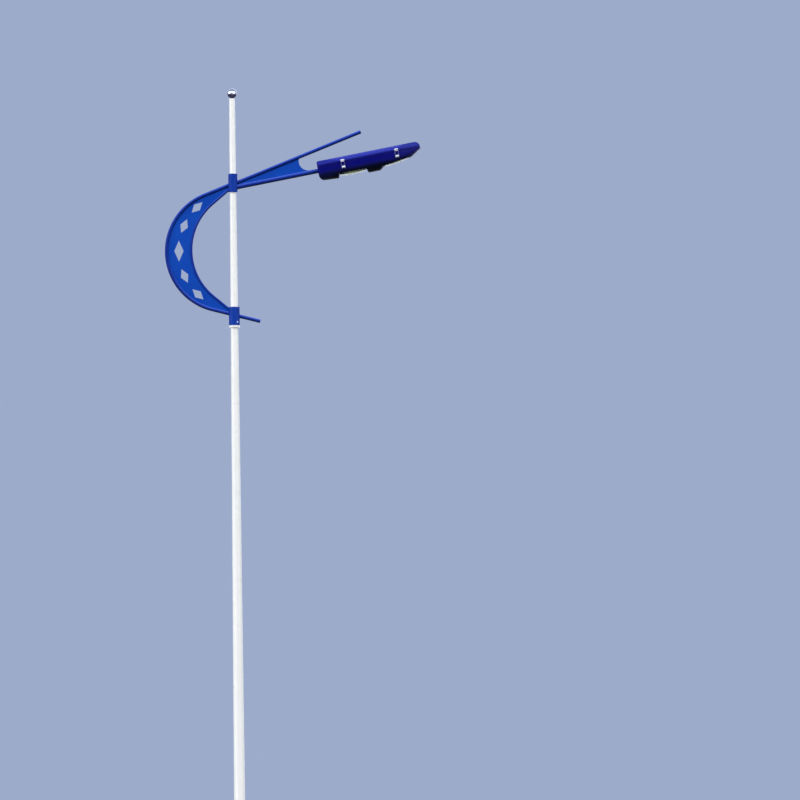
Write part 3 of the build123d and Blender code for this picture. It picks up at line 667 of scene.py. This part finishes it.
for node in nodes.values():
    for slot in node.material_slots:
        slot.material = looks[slot.material.name.split(".")[0]]
dress(("rear_latch_base", "front_latch_base"), looks["luminaire_paint"])
dress(("rear_latch_bail", "front_latch_bail"), wire_steel)
dress(("rear_latch_lever", "front_latch_lever"), lever_steel)
dress(("latch_keepers",), keeper_steel)
dress(("spar_tube", "spar_end_cap", "arm_tube", "crescent_outer_rim", "crescent_inner_rim", "tail_stub",
       "tail_end_cap"), tube_paint)


# Weld beads

tube_weld_r = 0.0032
plate_weld_r = 0.0026
foot_weld_r = 0.0055
gusset_weld_r = 0.004
ripple_pitch = 0.0042
ripple_depth = 0.12
ripple_points = 3
unevenness = (0.92, 1.06)
uneven_ripples = 97
weld_sides = 7
weld_sharp = 60.0
foot_weld_lift = 0.001
gusset_weld_end = 0.003
ring_steps = 72


def resampled(path, step, closed):
    """The same line with points at an even spacing."""
    line = list(path) + ([path[0]] if closed else [])
    lengths = [(after - before).length for before, after in zip(line, line[1:])]
    count = max(2, round(sum(lengths) / step))
    made = []
    index = 0
    passed = 0.0
    for number in range(count if closed else count + 1):
        wanted = sum(lengths) * number / count
        while index < len(lengths) - 1 and passed + lengths[index] < wanted:
            passed += lengths[index]
            index += 1
        share = (wanted - passed) / lengths[index] if lengths[index] else 0.0
        made.append(line[index].lerp(line[index + 1], min(1.0, max(0.0, share))))
    return made


def ring_line(radius, z):
    """Points round the column's axis."""
    angles = [math.tau * step / ring_steps for step in range(ring_steps)]
    return [Vector((radius * math.cos(angle), radius * math.sin(angle), z)) for angle in angles]


def ripple(radius):
    """A bead's radius along its length: overlapping ripples, with a little unevenness."""
    sizes = [random.uniform(*unevenness) for _ in range(uneven_ripples)]

    def at(travelled):
        phase = travelled / ripple_pitch
        swell = 1 - ripple_depth + ripple_depth * abs(math.sin(math.pi * phase))
        return radius * sizes[int(phase) % uneven_ripples] * swell

    return at


def weld(shape, path, radius, closed=False):
    shape.tube(resampled(path, ripple_pitch / ripple_points, closed), ripple(radius), weld_sides, closed)


# Beads round the ends of the bracket's tubes

split_z = (upper_collar_z + lower_collar_z) / 2
upper_tubes = ("spar_tube", "arm_tube", "crescent_outer_rim", "crescent_inner_rim")
lower_tubes = ("crescent_outer_rim", "crescent_inner_rim", "tail_stub")

# How near to its place beside the collar a corner lies, which corners are on the tube's outside, and how far
# apart round the tube two corners stand before both count
cope_tolerance = 0.0004
outside_reach = 0.95
least_turn = 0.02


def cope_ring(tube, collar_r, low_z, high_z):
    """The corners of a tube's end that meets a collar, in order, on the tube's outside."""
    corners = [v.co for v in nodes[tube].data.vertices
               if low_z < v.co.z < high_z
               and abs(math.hypot(v.co.x, v.co.y) - collar_r - weld_gap) < cope_tolerance]
    lowest = min(corner.z for corner in corners)
    highest = max(corner.z for corner in corners)
    half_y = max(abs(corner.y) for corner in corners)
    outer = []
    for corner in corners:
        across = corner.y / half_y
        up = (corner.z - (lowest + highest) / 2) / ((highest - lowest) / 2)
        if math.hypot(across, up) > outside_reach:
            outer.append((math.atan2(up, across), corner.copy()))
    outer.sort(key=lambda item: item[0])
    ring = []
    last_angle = -math.inf
    for angle, corner in outer:
        if angle - last_angle > least_turn:
            ring.append(corner)
            last_angle = angle
    return ring


def tube_end_welds():
    """Beads where the tubes meet the upper collar, and then where they meet the lower one."""
    welds = Shape()
    for tube in upper_tubes:
        weld(welds, cope_ring(tube, upper_collar_r, split_z, overall_height), tube_weld_r, closed=True)
    for tube in lower_tubes:
        weld(welds, cope_ring(tube, lower_collar_r, 0.0, split_z), tube_weld_r, closed=True)
    return welds


# Beads along the crescent's plate and the web

bow_steps = 180
web_tolerance = 0.002


def bow_fit(depth, top_z, foot_z, upper_slope, lower_slope):
    """Centre and radius of a bow that reaches depth behind the column's axis, and whose ends, run on
    straight at two slopes, meet that axis at two heights."""
    tangents = math.tan(upper_slope) + math.tan(lower_slope)
    secants = 1 / math.cos(upper_slope) + 1 / math.cos(lower_slope)
    radius = (top_z - foot_z - depth * tangents) / (secants - tangents)
    centre_x = radius - depth
    return centre_x, top_z + centre_x * math.tan(upper_slope) - radius / math.cos(upper_slope), radius


def bow_line(fit, offset, upper_slope, lower_slope, y):
    """A bow's line, moved out by offset, from the upper collar to the lower one."""
    centre_x, centre_z, radius = fit
    reach = radius + offset
    first = math.pi / 2 + upper_slope
    last = 3 * math.pi / 2 - lower_slope
    arc = []
    for step in range(bow_steps + 1):
        angle = first + (last - first) * step / bow_steps
        arc.append(Vector((centre_x + reach * math.cos(angle), y, centre_z + reach * math.sin(angle))))
    along = Vector((math.cos(upper_slope), 0, math.sin(upper_slope)))
    top = arc[0] + along * ((-upper_collar_r - arc[0].x) / along.x)
    along = Vector((math.cos(lower_slope), 0, -math.sin(lower_slope)))
    foot = arc[-1] + along * ((-lower_collar_r - arc[-1].x) / along.x)
    return [top] + arc + [foot]


def web_edge(axis_z, slope, offset):
    """The two ends of the web's edge along a tube, read from the web's corners."""
    start_z = axis_z + offset / math.cos(slope)
    reaches = [v.co.x for v in nodes["arm_web"].data.vertices
               if abs(v.co.z - (start_z + v.co.x * math.tan(slope))) < web_tolerance]
    return [Vector((x, 0, start_z + x * math.tan(slope))) for x in (min(reaches), max(reaches))]


def plate_edge_welds():
    """Beads on both faces of the crescent's plate and of the web, where they meet their tubes."""
    welds = Shape()
    outer_fit = bow_fit(outer_rim_depth, outer_rim_top_z, tail_axis_z, spar_slope, tail_slope)
    inner_fit = bow_fit(inner_rim_depth, inner_rim_top_z, inner_rim_foot_z, inner_rim_slope, inner_rim_slope)
    for side in (-1, 1):
        y = side * crescent_thickness / 2
        weld(welds, bow_line(outer_fit, -outer_rim_r, spar_slope, tail_slope, y), plate_weld_r)
        weld(welds, bow_line(inner_fit, inner_rim_r, inner_rim_slope, inner_rim_slope, y), plate_weld_r)
    for side in (-1, 1):
        face = Vector((0, side * web_thickness / 2, 0))
        for edge in (web_edge(spar_axis_z, spar_slope, -spar_r), web_edge(arm_axis_z, arm_slope, arm_r)):
            weld(welds, [corner + face for corner in edge], plate_weld_r)
    return welds


def base_plate_welds():
    """Beads round the shaft's foot, and along the foot and the back of each gusset on both its faces."""
    welds = Shape()
    foot_line = ring_line(shaft_r(plate_thickness) + foot_weld_lift, plate_thickness + foot_weld_lift)
    weld(welds, foot_line, foot_weld_r, closed=True)
    top_z = plate_thickness + gusset_height
    for quarter in range(4):
        turn = Matrix.Rotation(math.radians(90) * quarter, 4, "Z")
        for side in (-1, 1):
            y = side * gusset_thickness / 2
            foot = [Vector((shaft_base_r, y, plate_thickness)),
                    Vector((shaft_base_r + gusset_reach - gusset_weld_end, y, plate_thickness))]
            back = [Vector((shaft_r(plate_thickness), y, plate_thickness)),
                    Vector((shaft_r(top_z), y, top_z - gusset_weld_end))]
            for line in (foot, back):
                weld(welds, [turn @ corner for corner in line], gusset_weld_r)
    return welds


bracket_welds = tube_end_welds()
plate_welds = plate_edge_welds()
plate_welds.piece("plate_welds", "column", "bracket_paint", looks["bracket_paint"], weld_sharp)
bracket_welds.piece("bracket_welds", "column", "bracket_paint", tube_paint, weld_sharp)
base_plate_welds().piece("base_welds", "column", "column_paint", looks["column_paint"], weld_sharp)


# Sealant where the collars close on the shaft

seal_r = 0.0016
seal_off = 0.0006
seal_lift = 0.0004
seal_step = 0.003
seal_sides = 8


def add_collar_seals():
    seals = Shape()
    for centre_z in (upper_collar_z, lower_collar_z):
        for way in (-1, 1):
            z = centre_z + way * collar_height / 2
            line = resampled(ring_line(shaft_r(z) + seal_off, z + way * seal_lift), seal_step, closed=True)
            seals.tube(line, lambda travelled: seal_r, seal_sides, closed=True)
    seals.piece("collar_seals", "column", "seal_rubber", looks["seal_rubber"], weld_sharp)


add_collar_seals()


# Screws, each head round-edged with a six-sided socket

screw_root = 0.0005
set_screw_r = 0.0065
set_screw_height = 0.004
set_screw_angle = 54.0
set_screw_drop = 0.064
door_screw_r = 0.007
door_screw_height = 0.0035
door_screw_inset = 0.024
door_screw_off = 0.0001
lens_screw_r = 0.0032
lens_screw_height = 0.0022
lens_screw_sides = 18


def socket_screw(shape, head_r, head_height, place, sides=24):
    """A head that rises along the local Z axis, its root a little below the surface that it sits on."""
    edge = head_height * 0.22
    edge_mid = edge * 0.3
    socket_r = head_r * 0.52
    mouth_r = socket_r * 1.16
    floor_z = head_height * 0.35
    half_flat = math.radians(30)
    profile = [(head_r, -screw_root), (head_r, head_height - edge),
               (head_r - edge_mid, head_height - edge_mid), (head_r - edge, head_height),
               (mouth_r, head_height)]
    shape.lathe(profile, sides, place)
    mouth = []
    rim = []
    floor = []
    for side in range(sides):
        angle = math.tau * side / sides
        reach = socket_r * math.cos(half_flat) / math.cos(angle % (2 * half_flat) - half_flat)
        mouth.append((mouth_r * math.cos(angle), mouth_r * math.sin(angle), head_height))
        rim.append((reach * math.cos(angle), reach * math.sin(angle), head_height))
        floor.append((reach * math.cos(angle), reach * math.sin(angle), floor_z))
    rings = [list(range(level * sides, level * sides + sides)) for level in range(3)]
    shape.add(mouth + rim + floor, bands(rings) + [rings[-1]], place)


def add_collar_screws():
    """Set screws at two levels of each collar. One is left unpainted: the bright spot in the photo."""
    painted = Shape()
    unpainted = Shape()
    for centre_z, collar_r in ((upper_collar_z, upper_collar_r), (lower_collar_z, lower_collar_r)):
        for level in (-1, 1):
            for turn in (-set_screw_angle, set_screw_angle, 180 - set_screw_angle, set_screw_angle - 180):
                way = Vector((math.cos(math.radians(turn)), math.sin(math.radians(turn)), 0))
                origin = way * collar_r + Vector((0, 0, centre_z + level * set_screw_drop))
                bright = centre_z == lower_collar_z and level < 0 and turn == -set_screw_angle
                shape = unpainted if bright else painted
                socket_screw(shape, set_screw_r, set_screw_height, facing(origin, way))
    painted.piece("collar_set_screws", "column", "collar_paint", looks["collar_paint"])
    unpainted.piece("collar_new_screw", "column", "stainless", looks["stainless"])


def add_door_screws():
    screws = Shape()
    for level in (-1, 1):
        z = door_centre_z + level * (door_height / 2 - door_screw_inset)
        place = facing((-shaft_r(z) - door_screw_off, 0, z), (-1, 0, 0))
        socket_screw(screws, door_screw_r, door_screw_height, place)
    screws.piece("door_screws", "column", "stainless", looks["stainless"])


def add_lens_frame_screws():
    """Two screws along each end of a lens frame and three along each side, in the middle of its width."""
    screws = Shape()
    for lens, (length, width) in lens_sizes.items():
        half_x = length / 2 + (fit_gap + lens_frame_width / 2)
        half_y = width / 2 + (fit_gap + lens_frame_width / 2)
        spots = [(x * half_x, y) for x in (-1, 1) for y in (-half_y / 2, half_y / 2)]
        spots += [(x, y * half_y) for y in (-1, 1) for x in (-half_x / 2, 0, half_x / 2)]
        for x, y in spots:
            origin = Vector((x, y, -lens_frame_height))
            place = lens_places[lens] @ Matrix.Translation(origin) @ Matrix.Rotation(math.pi, 4, "X")
            socket_screw(screws, lens_screw_r, lens_screw_height, place, lens_screw_sides)
    screws.piece("lens_frame_screws", "column", "stainless", looks["stainless"])


add_collar_screws()
add_door_screws()
add_lens_frame_screws()


# Domed ends on the hinge pins and rivets on the latch bases, as outlines of (radius, height)

pin_end = [(0.0062, -0.0004), (0.0062, 0.0012), (0.0050, 0.0026), (0.0028, 0.0034), (0, 0.0037)]
pin_end_sides = 20
rivet = [(0.0026, -0.0002), (0.0025, 0.0006), (0.0017, 0.0013), (0, 0.0016)]
rivet_sides = 16
rivet_spread = 0.006
rivet_off = 0.003
rivet_rise = 0.017


def add_hinge_pin_ends():
    ends = Shape()
    for x in hinge_xs:
        for way in (-1, 1):
            place = on_arm @ facing((x + way * hinge_boss_end, hinge_y, lum_seam), (way, 0, 0))
            ends.lathe(pin_end, pin_end_sides, place)
    ends.piece("hinge_pin_ends", "column", "stainless", looks["stainless"])


def add_latch_rivets(name):
    rivets = Shape()
    for side in (-1, 1):
        spot = (latch_xs[name] + side * rivet_spread, -lum_half_width - rivet_off, latch_pivot_z + rivet_rise)
        rivets.lathe(rivet, rivet_sides, on_arm @ facing(spot, (0, -1, 0)))
    rivets.piece(name + "_latch_rivets", "column", "stainless", looks["stainless"])


add_hinge_pin_ends()
for name in latch_xs:
    add_latch_rivets(name)


# Insides of the lamps: an arc tube between two leads, and the wires and the disc that carry it

# Where the arc tube starts and ends, as shares of the lamp's length
arc_start = 0.34
arc_stop = 0.80

arc_r = 0.0042
arc_neck_r = 0.0036
arc_neck = 0.002
arc_shoulder = 0.006
arc_sides = 20
lead_r = 0.0014
lead_length = 0.008
wire_r = 0.0008
wire_sides = 8
wire_reach = 0.011
wire_foot = 0.020
wire_bend = 0.003
wire_bend_share = 0.6
disc_r = 0.0125
disc_foot = 0.018
disc_top = 0.022
disc_sides = 24


def add_arc_tube(name, low, high, axis):
    """A lead, a neck and a shoulder at the foot, and the same the other way up at the top."""
    half = [(0, -lead_length), (lead_r, -lead_length), (lead_r, 0), (arc_neck_r, arc_neck),
            (arc_r, arc_shoulder)]
    profile = [(radius, low + height) for radius, height in half]
    profile += [(radius, high - height) for radius, height in half[::-1]]
    arc = Shape()
    arc.lathe(profile, arc_sides, axis)
    arc.piece(name + "_arc_tube", "column", "white_ceramic", arc_ceramic)


def add_lamp_mount(name, low, high, axis):
    """A long wire to the far lead, a short one to the near lead, and the disc that both stand on."""
    mount = Shape()
    for way_x, end in ((1, high + lead_length), (-1, low)):
        way = Vector((way_x * wire_reach, 0, 0))
        path = [way + Vector((0, 0, wire_foot)), way + Vector((0, 0, end - wire_bend)),
                way * wire_bend_share + Vector((0, 0, end)), Vector((0, 0, end))]
        mount.tube([axis @ corner for corner in path], lambda travelled: wire_r, wire_sides)
    mount.lathe([(0, disc_foot), (disc_r, disc_foot), (disc_r, disc_top), (0, disc_top)], disc_sides, axis)
    mount.piece(name + "_lamp_mount", "column", "stainless", looks["stainless"])


def add_lamp_insides(name):
    """What stands on the lamp's axis, which starts at the rear end of the opening over the lens."""
    lamp_foot = (-(lens_sizes[name][0] - 2 * lens_ledge) / 2, 0, lamp_axis_z)
    axis = lens_places[name] @ Matrix.Translation(lamp_foot) @ Matrix.Rotation(math.pi / 2, 4, "Y")
    low = lamp_lengths[name] * arc_start
    high = lamp_lengths[name] * arc_stop
    add_arc_tube(name, low, high, axis)
    add_lamp_mount(name, low, high, axis)


for name in lens_places:
    add_lamp_insides(name)


# Copper windings that stand out of the ballasts' ends, and their terminal blocks

winding_out = 0.010
winding_inset = 0.014
winding_round = 0.007
terminal_inset = 0.020
terminal_half_width = 0.011
terminal_height = 0.015
terminal_round = 0.002


def add_ballast_trim():
    windings = Shape()
    terminals = Shape()
    for side in (-1, 1):
        near, far = sorted(side * y for y in ballast_y)
        middle = (near + far) / 2
        windings.rounded_box(
            (ballast_x[0] - winding_out, near + winding_inset, ballast_z[0] + winding_inset),
            (ballast_x[1] + winding_out, far - winding_inset, ballast_z[1] - winding_inset),
            winding_round, on_arm)
        terminals.rounded_box(
            (ballast_x[0] + terminal_inset, middle - terminal_half_width, ballast_z[1]),
            (ballast_x[1] - terminal_inset, middle + terminal_half_width, ballast_z[1] + terminal_height),
            terminal_round, on_arm)
    windings.piece("ballast_windings", "column", "gear_steel", copper)
    terminals.piece("ballast_terminals", "column", "white_ceramic", looks["white_ceramic"])


add_ballast_trim()


# Floor: it looks pale and fades into the sky far out, but throws little light back up, as dark ground does

floor_radii = (0, 2, 5, 12, 30, 80, 180, 300)
floor_sides = 96
floor_drop = 0.0005
floor_pale = colour(222, 223, 224)
floor_patches = colour(216, 217, 219)
floor_bounce = (0.05, 0.05, 0.05, 1.0)
floor_fade_start = 30.0
floor_fade_end = 190.0


def seen_directly(tree):
    """1 for what the camera sees, also in gloss and through glass, and 0 for what only gives light."""
    rays = tree.nodes.new("ShaderNodeLightPath")
    seen = rays.outputs["Is Camera Ray"]
    for kind in ("Is Glossy Ray", "Is Transmission Ray"):
        larger = tree.nodes.new("ShaderNodeMath")
        larger.operation = "MAXIMUM"
        tree.links.new(seen, larger.inputs[0])
        tree.links.new(rays.outputs[kind], larger.inputs[1])
        seen = larger.outputs["Value"]
    return seen


def blended(tree, share, first, second):
    """A blend of two shaders: the first where the share is 0, and the second where it is 1."""
    blend = tree.nodes.new("ShaderNodeMixShader")
    for socket, source in zip(blend.inputs, (share, first, second)):
        tree.links.new(source, socket)
    return blend.outputs["Shader"]


def floor_material():
    look = Look("floor_pale")
    patch = look.noise(scale=0.8, detail=4.0)
    look.link(look.mix(look.ramp(patch, 0.3, 0.7), floor_pale, floor_patches), "Base Color")
    look.set(Roughness=0.85)
    dark = look.tree.nodes.new("ShaderNodeBsdfDiffuse")
    dark.inputs["Color"].default_value = floor_bounce
    glow = look.tree.nodes.new("ShaderNodeEmission")
    glow.inputs["Color"].default_value = sky_colour
    seen = seen_directly(look.tree)
    away = look.ramp(look.length(look.coords.outputs["Object"]), floor_fade_start, floor_fade_end)
    body = blended(look.tree, seen, dark.outputs["BSDF"], look.shader.outputs["BSDF"])
    body = blended(look.tree, look.times(away, seen), body, glow.outputs["Emission"])
    look.tree.links.new(body, look.output.inputs["Surface"])
    return look.material


def make_floor():
    disc = Shape()
    disc.lathe([(radius, -floor_drop) for radius in floor_radii], floor_sides, Matrix())
    mesh = disc.mesh("floor")
    mesh.materials.append(floor_material())
    floor = bpy.data.objects.new("floor", mesh)
    bpy.context.scene.collection.objects.link(floor)


# World: the photo's sky behind, and an even studio light from all round

world_tint = (0.95, 0.97, 1.0, 1.0)
world_strength = 0.59


def make_world():
    world = bpy.data.worlds.new("soft_studio")
    bpy.context.scene.world = world
    world.use_nodes = True
    tree = world.node_tree
    tree.nodes.clear()
    out = tree.nodes.new("ShaderNodeOutputWorld")
    light = tree.nodes.new("ShaderNodeBackground")
    light.inputs["Color"].default_value = world_tint
    light.inputs["Strength"].default_value = world_strength
    backdrop = tree.nodes.new("ShaderNodeBackground")
    backdrop.inputs["Color"].default_value = sky_colour
    blend = blended(tree, seen_directly(tree), light.outputs["Background"], backdrop.outputs["Background"])
    tree.links.new(blend, out.inputs["Surface"])


# Studio lamps, all of them wide suns: name, energy, spread in degrees, and the direction it stands in

suns = (
    ("key_sun", 1.87, 50.0, (-0.85, -0.43, 0.30)),
    ("fill_sun", 1.72, 70.0, (0.77, -0.56, 0.30)),
    ("front_sun", 0.60, 45.0, (-0.08, -0.76, 0.64)),
    ("back_sun", 1.10, 60.0, (0.15, 0.98, 0.05)),
)


def make_sun(name, energy, spread, towards):
    data = bpy.data.lights.new(name, "SUN")
    data.energy = energy
    data.angle = math.radians(spread)
    sun = bpy.data.objects.new(name, data)
    sun.rotation_euler = Vector(towards).to_track_quat("Z", "Y").to_euler()
    bpy.context.scene.collection.objects.link(sun)


# Camera: far off and near the ground, with a long lens. It is turned until the point on the column's axis
# that is level with it lands on a given pixel of the picture, which the photo gave.

camera_place = Vector((5.9, -125.0, 1.619))
camera_roll = math.radians(0.643)
clip_end = 2000.0
lens_mm = 540.0
sensor_mm = 36.0
picture_px = 800.0
axis_at_eye_px = (239.6, 796.0)


def camera_turn():
    """The camera's right, up and back directions, as the columns of a matrix."""
    focal_px = lens_mm / sensor_mm * picture_px
    across_px = axis_at_eye_px[0] - picture_px / 2
    up_px = picture_px / 2 - axis_at_eye_px[1]
    level_px = across_px * math.cos(camera_roll) + up_px * math.sin(camera_roll)
    upright_px = up_px * math.cos(camera_roll) - across_px * math.sin(camera_roll)
    heading = math.atan2(camera_place.x, -camera_place.y) + math.atan2(level_px, focal_px)
    pitch = -math.atan2(upright_px, math.hypot(focal_px, level_px))
    ahead = Vector((-math.sin(heading) * math.cos(pitch), math.cos(heading) * math.cos(pitch),
                    math.sin(pitch)))
    level = ahead.cross(Vector((0, 0, 1))).normalized()
    upright = level.cross(ahead)
    right = level * math.cos(camera_roll) - upright * math.sin(camera_roll)
    above = level * math.sin(camera_roll) + upright * math.cos(camera_roll)
    return Matrix((right, above, -ahead)).transposed().to_4x4()


def make_camera():
    data = bpy.data.cameras.new("camera")
    data.lens = lens_mm
    data.sensor_width = sensor_mm
    data.clip_end = clip_end
    camera = bpy.data.objects.new("camera", data)
    camera.matrix_world = Matrix.Translation(camera_place) @ camera_turn()
    bpy.context.scene.collection.objects.link(camera)
    bpy.context.scene.camera = camera


make_floor()
make_world()
for sun in suns:
    make_sun(*sun)
make_camera()
bpy.context.scene.view_settings.view_transform = "Standard"
